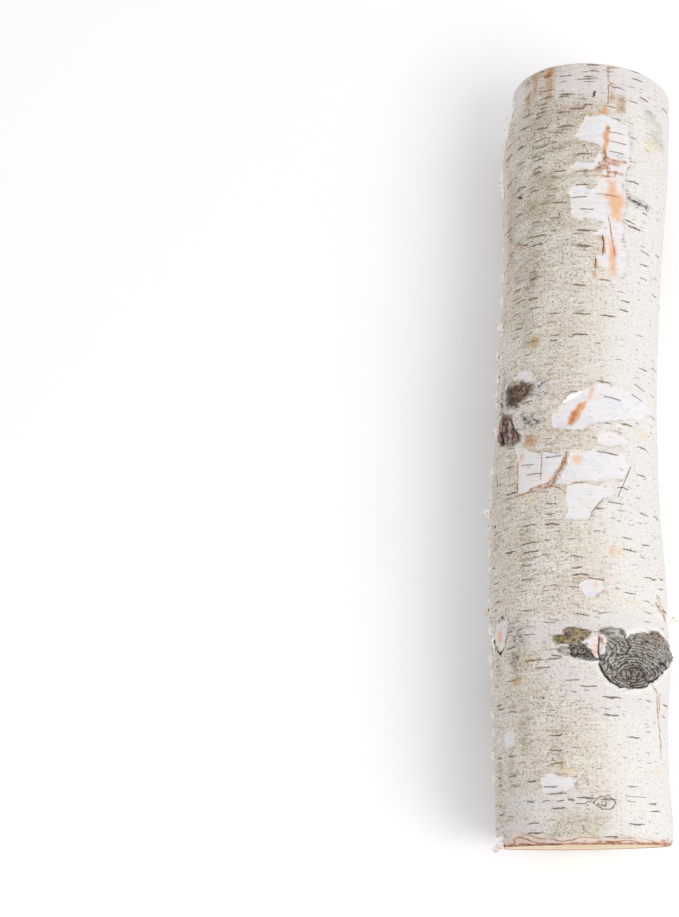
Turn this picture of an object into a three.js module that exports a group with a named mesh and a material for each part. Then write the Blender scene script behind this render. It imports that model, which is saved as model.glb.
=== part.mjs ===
// A short round of paper birch, sawn across at both ends and lying on its side in its bark.
// It grew as one stem, so it is one solid. X runs across the log, Y along it from the near cut to
// the far cut, and Z is up. The origin is the middle of its footprint, on the floor it rests on.
import * as THREE from "three";

// Driving dimensions, in millimetres unless a name says otherwise.
const logLength = 412;
const sidesAround = 48;
const ringsAlong = 56;

// Half the log's thickness and the sideways drift of its pith, at equal steps from the near cut.
const girthRadius = [43, 44, 45.5, 44, 43, 43.5, 46, 44];
const pithDrift = [0, -1.5, -3.5, -6, -5.5, -4.5, -3.5, 0];

// The stem is a little lower than it is wide, and three-sided by a hair.
const heightLoss = 0.018;
const threeSidedness = 0.005;
const threeSidedTurn = 0.6; // radians from the top, towards +X

// The belly is worn flat where the two thickest stretches of the stem rest.
const bellyDepth = 43.4; // from the pith down to the floor

// Each cut leans off square: across is its slope with X, and upright its slope with Z.
const nearCut = { across: 0.06, upright: -0.02 };
const farCut = { across: -0.07, upright: 0.01 };

// Branch knots healed into low swellings: place along Y from the middle, angle from the top in
// degrees towards +X, rise of the swelling, and how far it reaches along and around the log.
const knots = [
  { along: -119, angle: 46, rise: 2.4, reachAlong: 17, reachAround: 22 },
  { along: -112, angle: -2, rise: 0.9, reachAlong: 10, reachAround: 14 },
  { along: 18, angle: -46, rise: 1.6, reachAlong: 15, reachAround: 13 },
  { along: 128, angle: 42, rise: 0.6, reachAlong: 8, reachAround: 9 },
];

const birchBark = new THREE.MeshStandardMaterial({
  name: "birch_bark",
  color: 0xd9d4c6,
  roughness: 0.82,
  metalness: 0,
});

// A smooth curve through equally spaced values (Catmull-Rom), read at u from -1 to 1.
function along(values, u) {
  const place = ((u + 1) / 2) * (values.length - 1);
  const step = Math.min(Math.floor(place), values.length - 2);
  const f = place - step;
  const before = values[Math.max(step - 1, 0)];
  const from = values[step];
  const to = values[step + 1];
  const after = values[Math.min(step + 2, values.length - 1)];
  const slope = to - before;
  const bend = 2 * before - 5 * from + 4 * to - after;
  const twist = 3 * (from - to) + after - before;
  return from + 0.5 * f * (slope + f * (bend + f * twist));
}

// How far the knots lift the bark at a place along the log and an angle from its top.
function knotLift(y, angle, radius) {
  let lift = 0;
  for (const knot of knots) {
    const apart = angle - THREE.MathUtils.degToRad(knot.angle);
    const around = Math.atan2(Math.sin(apart), Math.cos(apart)) * radius;
    const far = Math.hypot((y - knot.along) / knot.reachAlong, around / knot.reachAround);
    lift += knot.rise * Math.exp(-far * far);
  }
  return lift;
}

// The bark's distance from the pith.
function barkRadius(u, angle) {
  const radius = along(girthRadius, u);
  const loss = heightLoss * Math.cos(angle) ** 2;
  const threeSided = threeSidedness * Math.cos(3 * (angle - threeSidedTurn));
  return radius * (1 - loss + threeSided) + knotLift((u * logLength) / 2, angle, radius);
}

// One closed log: a capped cylinder along Y with every point moved to where the stem has it.
function logGeometry() {
  const geometry = new THREE.CylinderGeometry(1, 1, 2, sidesAround, ringsAlong);
  const points = geometry.getAttribute("position");
  for (let i = 0; i < points.count; i++) {
    const u = points.getY(i);
    const inward = Math.min(1, Math.hypot(points.getX(i), points.getZ(i))); // 0 on the pith
    const angle = Math.atan2(points.getX(i), points.getZ(i));
    const radius = inward < 0.5 ? 0 : barkRadius(u, angle);
    const across = radius * Math.sin(angle);
    const upright = Math.max(radius * Math.cos(angle), -bellyDepth);
    const cut = u < 0 ? nearCut : farCut;
    const lean = Math.abs(u) * (cut.across * across + cut.upright * upright);
    points.setXYZ(i, along(pithDrift, u) + across, (u * logLength) / 2 + lean, upright);
  }
  return geometry;
}

// Sets a geometry's footprint round the origin with its underside on Z = 0.
function standOnFloor(geometry) {
  geometry.computeBoundingBox();
  const box = geometry.boundingBox;
  const middle = box.getCenter(new THREE.Vector3());
  geometry.translate(-middle.x, -middle.y, -box.min.z);
  geometry.computeVertexNormals();
  return geometry;
}

const birchLog = new THREE.Mesh(standOnFloor(logGeometry()), birchBark);
birchLog.name = "birch_log";

const group = new THREE.Group();
group.add(birchLog);

export default group;
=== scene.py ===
# A short birch log in its peeling bark, lying on a pale floor in soft light.
# Lengths are in millimetres where a name ends in Mm or a note says so, otherwise in metres.
import math
import bpy
import numpy as np
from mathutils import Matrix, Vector, noise


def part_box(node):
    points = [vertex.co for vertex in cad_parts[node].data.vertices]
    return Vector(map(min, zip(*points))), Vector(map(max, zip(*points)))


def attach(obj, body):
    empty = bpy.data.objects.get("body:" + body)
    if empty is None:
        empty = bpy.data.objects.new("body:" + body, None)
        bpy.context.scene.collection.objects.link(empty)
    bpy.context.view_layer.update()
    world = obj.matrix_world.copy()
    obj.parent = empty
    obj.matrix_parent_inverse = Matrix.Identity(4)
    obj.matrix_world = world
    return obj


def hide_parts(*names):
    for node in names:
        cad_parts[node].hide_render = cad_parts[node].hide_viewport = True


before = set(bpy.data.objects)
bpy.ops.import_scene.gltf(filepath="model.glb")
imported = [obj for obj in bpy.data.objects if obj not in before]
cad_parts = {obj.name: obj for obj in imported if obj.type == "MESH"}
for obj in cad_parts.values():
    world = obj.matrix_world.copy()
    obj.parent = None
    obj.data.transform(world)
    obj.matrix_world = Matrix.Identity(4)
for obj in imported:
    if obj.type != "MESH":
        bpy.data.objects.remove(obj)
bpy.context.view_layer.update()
mm = 0.001


def deselectAll():
    bpy.ops.object.select_all(action="DESELECT")


def colourOf(hexCode):
    # sRGB hex to the linear colour that a shader takes
    parts = [int(hexCode[i:i + 2], 16) / 255 for i in (0, 2, 4)]
    return [p / 12.92 if p <= 0.04045 else ((p + 0.055) / 1.055) ** 2.4 for p in parts] + [1]


def addNode(tree, kind, inputs=None, **settings):
    # inputs go by name or number: each is a value, a node (its first live output) or an output
    node = tree.nodes.new("ShaderNode" + kind)
    for name, value in settings.items():
        setattr(node, name, value)
    for key, value in (inputs or {}).items():
        slot = node.inputs[key] if isinstance(key, int) else next(
            s for s in node.inputs if s.enabled and s.name == key)
        if isinstance(value, bpy.types.Node):
            value = next(s for s in value.outputs if s.enabled)
        if isinstance(value, bpy.types.NodeSocket):
            tree.links.new(value, slot)
        else:
            slot.default_value = value
    return node


def newMaterial(name):
    material = bpy.data.materials.new(name)
    material.use_nodes = True
    material.node_tree.nodes.clear()
    return material, material.node_tree


def grainPatterns(tree, sizes):
    # a noise for each row: the size of its bumps in mm along X, Y and Z, then its detail and roughness
    inLog = addNode(tree, "VectorMath", {
        0: addNode(tree, "TexCoord").outputs["Object"], 1: [1 / mm] * 3}, operation="MULTIPLY")
    patterns = {}
    for name, (size, detail, roughness) in sizes.items():
        scaled = addNode(tree, "VectorMath", {0: inLog, 1: [1 / s for s in size]}, operation="MULTIPLY")
        patterns[name] = addNode(tree, "TexNoise", {
            "Vector": scaled, "Scale": 1.0, "Detail": detail, "Roughness": roughness}).outputs["Fac"]
    return patterns


print("camera, floor and light")
studio = dict(
    eye=(-0.063, -0.261, 0.874), tilt=17.02, lean=3.51, roll=3.03, lens=63.8, sensor=36,
    floorSize=9.0, floorColour="FAFAFA",
    skyColour="FBFBFF", skyStrength=0.83,
    keyPlace=(1.0, -0.65, 1.5), keyAim=(0, 0, 0.04),
    keySize=1.1, keyPower=16.5, keyColour="FFFDFA",
)
deselectAll()
bpy.ops.object.camera_add(
    location=studio["eye"],
    rotation=[math.radians(studio[turn]) for turn in ("tilt", "lean", "roll")])
camera = bpy.context.object
camera.data.lens = studio["lens"]
camera.data.sensor_width = studio["sensor"]
bpy.context.scene.camera = camera

keyPlace = Vector(studio["keyPlace"])
bpy.ops.object.light_add(
    type="AREA", location=keyPlace,
    rotation=(Vector(studio["keyAim"]) - keyPlace).to_track_quat("-Z", "Y").to_euler())
keyLight = bpy.context.object
keyLight.data.size = studio["keySize"]
keyLight.data.energy = studio["keyPower"]
keyLight.data.color = colourOf(studio["keyColour"])[:3]

sky = bpy.data.worlds.new("studioSky")
sky.use_nodes = True
sky.node_tree.nodes["Background"].inputs["Color"].default_value = colourOf(studio["skyColour"])
sky.node_tree.nodes["Background"].inputs["Strength"].default_value = studio["skyStrength"]
bpy.context.scene.world = sky
bpy.context.scene.view_settings.view_transform = "Standard"

deselectAll()
bpy.ops.mesh.primitive_plane_add(size=studio["floorSize"], location=(0, 0, 0))
floor = bpy.context.object
floor.name = "paperSweep"
sweepPaper, tree = newMaterial("seamless paper, matt coated")  # no gloss, so the floor shows no reflection
shader = addNode(tree, "BsdfPrincipled", {
    "Base Color": colourOf(studio["floorColour"]), "Roughness": 0.9, "Specular IOR Level": 0.1})
addNode(tree, "OutputMaterial", {"Surface": shader})
floor.data.materials.append(sweepPaper)


# The stem. Along is the place on it from the middle, far end positive, and around is the
# distance round it from the top, measured at the mean radius, both in millimetres.
stem = dict(
    lengthMm=412, meanRadiusMm=44, columns=240, rows=408,
    girthRadiusMm=[43, 44, 45.5, 44, 43, 43.5, 46, 44],
    pithDriftMm=[0, -1.5, -3.5, -6, -5.5, -4.5, -3.5, 0],
    heightLoss=0.018, threeSidedness=0.005, threeSidedTurn=0.6, bellyMm=43.4,
    nearCut=(0.06, -0.032), farCut=(-0.07, 0.01),
    # healed branch stubs: along, degrees from the top, rise, reach along, reach around
    swellings=[(-119, 46, 2.4, 17, 22), (-112, -2, 0.9, 10, 14), (18, -46, 1.6, 15, 13),
     (128, 42, 0.6, 8, 9)],
    # rows and columns lie closer where the knots and the camera's side are: (share of them, place)
    columnStops=[(0, -180), (0.165, -102), (0.835, 102), (1, 180)],
    rowStops=[(0, -206), (0.03, -199), (0.17, -135), (0.325, -100), (0.55, -8), (0.655, 32), (1, 206)],
)


def spot(around, along, reachAround, reachAlong):
    turns = [k * math.pi / 5 for k in range(10)]
    return [(around + reachAround * math.cos(t), along + reachAlong * math.sin(t)) for t in turns]


# where a diamond of bark has split and lifted
splitFlap = [
    (-41.5, -96), (-42.5, -100), (-44, -105.5), (-46, -110), (-51.5, -112.5), (-57, -104), (-54, -99),
    (-47, -96.5)]

# Patches on the bark, each an outline of (around, along).
patches = dict(
    # where the outer paper has come away and the fresh white layer shows
    peel=[
        [(-3.5, 173.5), (8.5, 174.5), (21.5, 170.5), (22.5, 157), (11, 154), (3.5, 157), (-8.5, 160.5),
         (-5.5, 166)],
        [(-10, 142.5), (-6, 145.5), (2, 145.5), (5, 150.5), (7.5, 151.5), (7, 145.5), (3, 141.5)],
        [(-9.5, 129), (-6.5, 131.5), (-1.5, 132.5), (1.5, 130), (4.5, 132), (7.5, 138.5), (17, 138.5),
         (21, 131), (22, 124), (20, 114), (10.5, 112), (5, 113.5), (0, 114), (-3.5, 112.5), (-7, 115),
         (-8.5, 123)],
        [(8, 158), (22, 158), (23, 150), (20.5, 143), (20, 137.5), (8, 137.5), (8, 145), (10, 151)],
        [(10, 114), (20, 115), (21, 109), (20.5, 103.5), (24.5, 96.5), (22, 84), (14, 81.5),
         (13.5, 86.5), (6.5, 88), (5.5, 93.5), (11, 94.5), (10.5, 104), (3, 105), (8.5, 109)],
        [(-40.5, 29), (-37.5, 31), (-31.5, 32), (-27, 30.5), (-27.5, 27), (-20, 24), (-20, 17.5),
         (-26, 21), (-34, 26.5)],
        [(6.5, 23), (19, 22), (41, 19), (48.5, 17.5), (46.5, 13.5), (35, 8), (19, 3.5), (5, 0.5),
         (1, -3.5), (-11, -1.5), (-14.5, -1.5), (-15.5, 5), (-10, 11), (-1.5, 17)],
        [(8.5, -6), (14.5, -2.5), (19.5, -3.5), (28.5, -5), (27, -7.5), (18, -9.5), (9, -10)],
        [(-37.5, -8.5), (-29, -11), (-21.5, -15.5), (-19.5, -13.5), (-7.5, -15.5), (-8, -20),
         (-11.5, -24.5), (-15, -31.5), (-25.5, -33), (-35, -34.5), (-35, -19)],
        [(-5.5, -14.5), (9.5, -13), (24.5, -14.5), (28.5, -19.5), (23.5, -26.5), (13.5, -28.5),
         (-13, -31), (-9.5, -26.5), (-6, -21)],
        [(-7, -31), (8.5, -31), (17, -32), (19.5, -35), (12, -38.5), (6, -45), (4, -49.5),
         (-8.5, -49.5), (-6, -45.5), (-7, -39.5)],
        splitFlap, [(-3, -82.5), (1, -80), (9, -80), (10, -84.5), (5, -89), (1, -88.5)],
        [(3.5, -108), (6.5, -108.5), (7.2, -117), (5, -119.5), (2.5, -115), (-1, -110.5)],
        [(-49, -151.5), (-39.5, -152), (-40, -159), (-49.5, -158)],
        [(-24, -175), (-17.5, -172.5), (-14.5, -174.5), (-5, -175.5), (-6.5, -179.5), (-10, -181.5),
         (-23, -181.5)],
        # the side away from the light and the back
        [(-104, 120), (-86, 128), (-78, 119), (-84, 104), (-99, 100)],
        [(84, 70), (98, 76), (112, 66), (106, 52), (90, 48), (80, 58)],
        [(-98, -40), (-82, -34), (-76, -52), (-88, -66), (-100, -58)],
        [(92, -60), (106, -56), (112, -74), (100, -88), (90, -80)],
        [(76, -168), (90, -164), (96, -176), (84, -184)],
    ],
    # orange under-bark where a peel tore deeper
    rust=[
        [(-30, 204.5), (-24, 204), (-29, 199)], [(7, 181.5), (9, 175.5), (3.5, 174.5)],
        [(8.5, 170.5), (10.5, 168), (10, 160.5), (9.5, 153), (7.5, 153), (7, 163)],
        [(-0.5, 12.5), (3.5, 13), (-0.5, 3.5), (-4.5, 0), (-7.5, 0), (-5, 7)],
        spot(-39, 102.5, 1.8, 1.6), spot(9.5, 103, 1.3, 1.6), spot(9.5, 97.5, 1.3, 1.8),
        spot(6, 89, 1, 3.2), spot(5, 83, 1, 1.6), spot(-28, -6.5, 2, 1.2), spot(-88, 112, 2, 5),
        spot(98, 62, 3, 4),
    ],
    # salmon-pink inner bark
    rose=[
        [(10, 138), (16, 137.5), (16, 132.5), (19, 130.5), (22, 125.5), (20, 121), (20.5, 114.5),
         (13.5, 115), (12.5, 120), (10.5, 123), (11.5, 125.5), (7, 128), (10.5, 129)],
        [(11.5, 104), (16, 104), (18, 96), (19, 84), (14, 84), (12.5, 95)],
        [(6, 22.5), (8, 22.5), (4.5, 13.5), (1.5, 12)], spot(-50.5, -104, 3, 4.5), spot(-33, -14, 2, 2),
        spot(-1, -18, 2.6, 2.6), spot(15, -65, 1.5, 3), spot(5.7, -83, 1, 2.6),
        spot(4.6, -114, 1.4, 3.4), spot(-92, -48, 4, 8), spot(102, -72, 3, 7),
    ],
    # ochre and mustard stains
    ochre=[
        spot(10.5, 186.5, 1.6, 1.8), spot(17.5, 152, 2.4, 1.2),
        [(13.5, 188), (17, 188.5), (17.5, 179.5), (14, 179)],
        [(-38.5, 204), (-35.5, 204), (-35, 194), (-37.5, 190)],
        [(-28, 206), (-24.5, 206), (-22.5, 186), (-26, 185)],
        [(-44, 194), (-40, 196), (-38, 188), (-42, 186)], spot(-28, 47, 2.9, 2.7),
        spot(-38.5, -118, 1.6, 3.5), spot(-29.5, -119, 1.6, 1.2), spot(-37, -127.5, 2.2, 1.6),
        spot(-27, -7, 3.5, 2.2), spot(-13.2, -168, 0.9, 2.2), spot(100, 20, 3, 2.5),
        spot(-96, 20, 2.5, 4),
    ],
    # buff flakes half torn away
    buff=[
        [(-13, -166.5), (-17.5, -172), (-15.5, -174.5), (-5, -175), (-3, -172.5), (-7, -170.5),
         (-11, -170)],
        spot(-34, -39, 2.8, 1.6), spot(24, -89, 6, 1.4), spot(20, -64, 3.5, 4), spot(31, -92, 4, 1.2),
        spot(2, -8, 5, 1.2), spot(28, 8, 2, 2.4), spot(7.5, -187, 1.6, 0.6),
        [(30, 166), (37, 170), (44, 167), (40, 161), (32, 161)],
        [(23.5, 160.6), (48.5, 155.2), (48.5, 153.6), (23.5, 158.6)],
        [(-36, -37), (-24, -35.5), (-24, -37), (-30, -39), (-36, -40)],
        [(30, 1), (40, 4), (44, 0), (36, -3)], spot(40, -172, 3, 2), spot(-52, -88, 2, 3),
    ],
    # greenish khaki film on the bark
    khaki=[
        [(-16, -190.5), (9, -192), (9.5, -197), (2.5, -203), (-15, -201.5), (-19, -199), (-16, -195)],
        [(30, 186), (44, 183), (46, 178), (32, 180)], [(36, 175), (50, 172), (50, 168), (36, 168)],
        spot(-43, -172, 2, 9), spot(-33, -112, 3, 11), spot(-30, -60, 4, 12), spot(-34, 60, 5, 16),
        spot(-31, 88, 5, 16), spot(-26, 130, 9, 14), spot(-50, 120, 6, 30), spot(-33, -150, 3, 12),
    ],
    # moss beside the small knot
    moss=[
        [(-15.5, -109.5), (-14, -107.5), (-10, -108), (-10, -105.5), (-7, -104), (-2.5, -104.5),
         (3, -105.5), (1, -108), (-1.5, -110), (-5.5, -111.5), (-13, -111.5)],
    ],
    # grey-green lichen
    lichen=[
        [(-14, -114), (-8, -113), (-8.5, -117), (-13, -115.5)],
        [(7, -105.5), (10.5, -104), (18, -103.5), (20, -106.5), (19.5, -108.5), (10, -108.5)],
    ],
    # dark corky crust of the branch scars
    knot=[
        [(11, -108.5), (19.5, -109), (23.5, -106), (41, -102.5), (46.5, -104), (56, -107.5),
         (61, -110), (60.5, -114), (45.5, -121.5), (38, -127), (32.5, -130), (26.5, -132), (18, -132),
         (13, -130.5), (10, -127.5), (7, -123), (6.5, -118.5), (10, -115)],
        [(-7.5, -112), (-4, -111), (0.5, -112.5), (3, -115.5), (5.5, -119.5), (0, -119.2),
         (-5.5, -118), (-7.5, -116)],
        [(-108, -120), (-96, -114), (-88, -122), (-94, -134), (-106, -132)],
        [(98, 148), (110, 152), (116, 142), (106, 134), (96, 140)],
    ],
    # a weathered branch scar that fades into the bark
    scar=[
        [(-46, 26), (-33, 25), (-27, 23.5), (-26.5, 19.5), (-30, 16.5), (-36, 12), (-44, 15), (-49, 20)],
        spot(-92, 24, 6, 5), spot(96, -18, 7, 4),
    ],
    # reddish, finely broken bark below a scar
    redBark=[
        [(-50.5, 11.5), (-41.5, 8.5), (-40, 3.5), (-35.5, -0.5), (-34.5, -5), (-38.5, -6.5),
         (-49, -5.5), (-55.5, 0), (-56, 6), (-53, 9)],
    ],
    # black-dotted grime
    grime=[
        [(-32.5, 8.5), (-22, 7.5), (-22, 2), (-26, -1.5), (-33, 0.5)],
        [(-25, 24.5), (-20, 24), (-18.5, 18), (-22, 14), (-26, 18)], spot(-36, -104, 3.2, 6),
        spot(-33, -110, 2, 4), spot(-40, -117, 3, 2), spot(-64, -204, 3, 3), spot(-54, -172, 2, 6),
        [(22.5, 130.2), (28, 129.8), (36, 129), (36, 126), (28, 126.2), (22.5, 127)],
        spot(-40.5, 131.5, 1.6, 1.4), spot(-31, 110, 2.4, 0.8), spot(-54, 24, 2.4, 9),
        spot(-36, -121, 1.6, 5), spot(-98, 70, 6, 5), spot(104, -20, 5, 6),
    ],
    # smooth pale bark, lilac-white
    pale=[
        [(-26, 186), (-20, 206), (66, 206), (62, 190), (26, 188), (5, 184)],
        [(-60, 206), (-50, 206), (-48, 190), (-58, 186)],
        [(-16, -114), (-9, -119.5), (2, -122), (7, -127), (12, -134), (26, -136), (40, -134),
         (60, -128), (60, -150), (22, -146), (-6, -138), (-18, -126)],
        [(-24, -112), (-34, -104), (-18, -100), (-4, -99), (20, -97), (46, -96), (56, -103),
         (30, -100), (10, -101.5)],
        [(-46, -182.5), (0, -182.5), (0, -190.5), (-20, -191.5), (-46, -190)],
        [(-44, -193), (-20, -193), (-24, -204), (-46, -204)],
        [(8, -199), (11, -195.5), (18, -195.5), (23, -198), (18, -202), (9, -203)],
    ],
)

# Thin marks: half width in mm, how deep they cut, then their route of (around, along).
rustLines = [
    (0.35, 0.3, [(-61, 193), (-62.5, 176), (-62, 158)]),
    (0.25, 0.3, [(7, 205.5), (7.5, 196), (10, 195)]), (0.2, 0.1, [(7.5, 205.2), (11.5, 205.2)]),
    (0.2, 0.1, [(-4, 205.3), (0.5, 205.3)]), (0.3, 0.2, [(7.8, 193), (8.2, 183)]),
    (0.4, 0.3, [(-42.2, -98), (-44, -105.5), (-46.2, -110)]), (0.8, 0.3, [(8.5, 153.5), (9.3, 146)]),
    (0.7, 0.2, [(9, 149.5), (13, 148.6), (20, 149)]), (0.6, 0.2, [(6, 146.4), (9, 147.2), (16, 146.5)]),
    (0.8, 0.2, [(5, 142.5), (10.5, 144.3)]), (0.8, 0.2, [(11, 141.8), (18, 142)]),
    (0.5, 0.1, [(8, 138.8), (14, 139.6)]), (0.35, 0.1, [(7, 128.5), (17, 128.5)]),
    (0.3, 0.3, [(12, 116.5), (14, 107.5), (16.5, 96)]),
    (0.45, 0.5, [(-7.3, -15.5), (-7.8, -20), (-11, -24.5), (-14.6, -31)]),
    (0.35, 0.3, [(-8.6, -17), (-10, -21), (-15.8, -29)]),
    (0.45, 0.5, [(-14.5, -31.7), (-25.5, -33.6), (-35, -35)]), (0.35, 0.3, [(-17, -30.2), (-26, -32)]),
    (0.3, 0.4, [(-35.4, -17), (-35.2, -34.5)]), (0.3, 0.2, [(-20.5, -15.5), (-21, -27)]),
    (0.3, 0.1, [(-8, -35.4), (-12, -32.4), (-15, -32)]),
    (0.6, 0.4, [(42.5, -88), (46, -91), (52, -95)]), (0.35, 0.3, [(44, -84), (50, -90)]),
    (0.35, 0.4, [(34.5, -129.5), (39.5, -132.5), (41, -141), (43.5, -150), (44.8, -164)]),
    (0.2, 0.2, [(42.4, -134), (43.2, -141)]), (0.25, 0.2, [(42.2, -144), (45.5, -158)]),
    (0.9, 0.5, [(7.5, -109.5), (10, -114)]), (0.5, 0.4, [(58, -106), (62, -112)]),
    (0.5, 0.3, [(-90, 126), (-87, 104)]), (0.6, 0.4, [(96, 74), (99, 52)]),
]
darkLines = [
    # splits beside the lifted diamond of bark
    (0.6, 1.2, [(-41.5, -98), (-43.3, -105.5), (-45.5, -110), (-50.5, -113)]),
    (0.35, 0.8, [(-58, -103), (-55, -109.5), (-51, -113)]),
    (0.6, 0.6, [(-46.5, -95.2), (-45.5, -95.8)]),
    # gaps under the big scar, the slit beside it and the red bark's edges
    (0.8, 1.4, [(38.5, -119), (44, -118.2), (47, -120)]),
    (0.7, 1.2, [(33, -128.8), (38, -126.5), (43, -123)]),
    (0.5, 1.2, [(12, -129.5), (9, -126.5), (6.5, -122)]),
    (0.4, 0.8, [(6.5, -109.5), (6, -114), (6.8, -118.5)]), (0.35, 1.0, [(13, -130.2), (17, -131.8)]),
    (0.3, 1.0, [(24, -132.2), (30, -130.8)]), (0.35, 0.6, [(19.5, -108.6), (21.5, -112), (19, -116)]),
    (0.4, 0.9, [(-41, 6), (-40, 2.5), (-38, 0.5)]), (0.5, 0.9, [(-50, 12), (-54, 7)]),
    (0.4, 0.6, [(-37, -1), (-35.5, -4)]), (0.5, 0.8, [(-47, 8), (-46, 4), (-47.5, 0)]),
    (0.5, 0.8, [(-51, 2), (-48, -4)]), (0.3, 0.5, [(-44.5, 3), (-43, -3)]),
    (0.2, 0.4, [(23, 128.8), (26, 128.8)]), (0.3, 0.4, [(27.5, 128), (29, 127.6)]),
    (0.2, 0.4, [(31.5, 127.6), (34, 126.8)]), (0.3, 0.2, [(9.3, 104.4), (9.6, 101.6)]),
    (0.3, 0.2, [(9.7, 99.3), (9.4, 96)]), (0.25, 0.2, [(5.8, 91), (5.6, 87.5)]),
    (0.5, 0.4, [(-41.3, 132), (-39.8, 131.2)]), (0.3, 0.3, [(-36.6, 103.2), (-34.6, 102.6)]),
    (0.4, 0.4, [(-57, -20), (-55, -24)]), (0.4, 0.3, [(-56, 20), (-52, 17)]),
    (0.6, 0.3, [(0.5, 188.2), (0.2, 186.4)]), (0.6, 0.4, [(-57.3, -46.4), (-56, -46.6)]),
    (0.7, 0.4, [(62, -199.4), (62.8, -200.6)]), (0.8, 0.6, [(-100, -126), (-94, -122)]),
    (0.7, 0.6, [(102, 144), (110, 142)]),
]
# the slate-grey rim of the eye-shaped scar near the cut, and its dotted tail
slateLines = [
    (0.22, 0.2, [(2, -186.6), (5.5, -184.2)]), (0.2, 0.2, [(6.6, -183.8), (9.4, -183.6)]),
    (0.22, 0.2, [(11, -184.4), (13.2, -186)]), (0.3, 0.2, [(13.2, -187), (11.2, -189.6)]),
    (0.22, 0.2, [(10, -189.8), (7, -189.8), (4.6, -188.6)]),
    (0.22, 0.2, [(2.4, -187), (0, -186), (-2, -187.2), (-5, -187.2)]),
    (0.5, 0.2, [(-7.9, -185.6), (-9, -185.4)]), (0.3, 0.1, [(-13, -185.7), (-14.3, -185.8)]),
    (0.2, 0.1, [(-20, -185.5), (-21.6, -185.6)]), (0.4, 0.2, [(-29, -185.8), (-31, -185.5)]),
    (0.2, 0.1, [(8, -185.4), (8.6, -186.4)]), (0.2, 0.1, [(6, -187.6), (7.4, -188)]),
]
# lenticels that stand out, some of them on the peels, and two thin cracks
dashLines = [
    (0.35, 0.1, [(13.5, 16.2), (21, 15.6)]), (0.3, 0.1, [(-32, -19), (-26, -19.5)]),
    (0.3, 0.1, [(-28, -24.5), (-21, -24.8)]), (0.3, 0.1, [(-17, -16.6), (-11, -16.2)]),
    (0.35, 0.1, [(10, -13.5), (18.5, -14)]), (0.35, 0.1, [(3, -79.2), (9, -80)]),
    (0.3, 0.1, [(15, -39.5), (22, -40)]), (0.3, 0.1, [(-21.5, -179), (-16.5, -179)]),
    (0.35, 0.1, [(-24.5, -122.5), (-18.5, -122.5)]), (0.3, 0.1, [(-9, -129), (-4.5, -129)]),
    (0.3, 0.1, [(-2, -132), (4, -132)]), (0.45, 0.2, [(-15.5, -117), (-12.5, -117.5)]),
    (0.35, 0.1, [(-2.2, 201.5), (1.2, 201.5)]), (0.6, 0.2, [(-11, 178), (-5, 178)]),
    (0.5, 0.2, [(28, 191.5), (31.5, 191)]), (0.6, 0.2, [(24.5, 113.5), (31, 113.5)]),
    (0.25, 0.2, [(28, -20), (20.5, -35.5)]), (0.25, 0.2, [(11.5, -38.5), (6, -45)]),
    (0.16, 0.1, [(19.5, -183.5), (30, -184)]), (0.3, 0.1, [(30, 20), (36, 18.6)]),
    (0.3, 0.1, [(-3, 205), (1, 205)]), (0.3, 0.1, [(32, 26), (38, 24.6)]),
    (0.3, 0.1, [(12, 154), (18, 154)]), (0.3, 0.1, [(12, 160), (19, 160)]),
    (0.25, 0.1, [(11, 165.5), (17, 165.5)]), (0.35, 0.1, [(-7.5, 125.5), (-1, 126)]),
    (0.35, 0.1, [(-2.5, 119), (3, 119.3)]), (0.4, 0.1, [(-3.6, 180.4), (-1, 180.7)]),
    (0.3, 0.1, [(-19, 199), (-14, 199)]), (0.3, 0.1, [(-8, 196), (-3, 196.3)]),
]

# Rings round each branch scar: centre, how wide they are for their height.
ringCentres = [(23.5, -125.5, 1.7), (-1.8, -115.6, 1.7), (-38, 19, 1.4), (-98, -124, 1.5), (106, 143, 1.5)]


def stopsAt(share, stops):
    return np.interp(share, [s for s, place in stops], [place for s, place in stops])


def alongStem(values, u):
    # a smooth curve through equally spaced values, read at u from -1 to 1
    values = np.array(values, float)
    place = (u + 1) / 2 * (len(values) - 1)
    step = np.clip(np.floor(place).astype(int), 0, len(values) - 2)
    f = place - step
    before, start, end = values[np.maximum(step - 1, 0)], values[step], values[step + 1]
    after = values[np.minimum(step + 2, len(values) - 1)]
    slope, bend = end - before, 2 * before - 5 * start + 4 * end - after
    return start + 0.5 * f * (slope + f * (bend + f * (3 * (start - end) + after - before)))


def barkRadius(alongMm, angle):
    u = alongMm * 2 / stem["lengthMm"]
    radius = alongStem(stem["girthRadiusMm"], u)
    loss = stem["heightLoss"] * np.cos(angle) ** 2
    bark = radius * (1 - loss + stem["threeSidedness"] * np.cos(3 * (angle - stem["threeSidedTurn"])))
    for place, turn, rise, reachAlong, reachAround in stem["swellings"]:
        apart = angle - math.radians(turn)
        away = np.arctan2(np.sin(apart), np.cos(apart)) * radius
        bark = bark + rise * np.exp(-((alongMm - place) / reachAlong) ** 2 - (away / reachAround) ** 2)
    return bark


def stemPoint(alongMm, angle, radius):
    # the point on the stem at this distance from the pith, in mm, before it is set on the floor
    u = alongMm * 2 / stem["lengthMm"]
    across = radius * np.sin(angle)
    upright = np.maximum(radius * np.cos(angle), -stem["bellyMm"])
    near, far = stem["nearCut"], stem["farCut"]
    lean = np.abs(u) * np.where(
        u < 0, near[0] * across + near[1] * upright, far[0] * across + far[1] * upright)
    return np.stack([alongStem(stem["pithDriftMm"], u) + across, alongMm + lean, upright], -1)


def fromPiece(a, s, a2, s2, around, along):
    # distance in mm to the straight piece between two points, and the side of it
    stepAround, stepAlong, length = a2 - a, s2 - s, math.hypot(a2 - a, s2 - s)
    part = np.clip(((around - a) * stepAround + (along - s) * stepAlong) / length ** 2, 0, 1)
    away = np.hypot(around - a - part * stepAround, along - s - part * stepAlong)
    return away, ((around - a) * stepAlong - (along - s) * stepAround) / length


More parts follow.
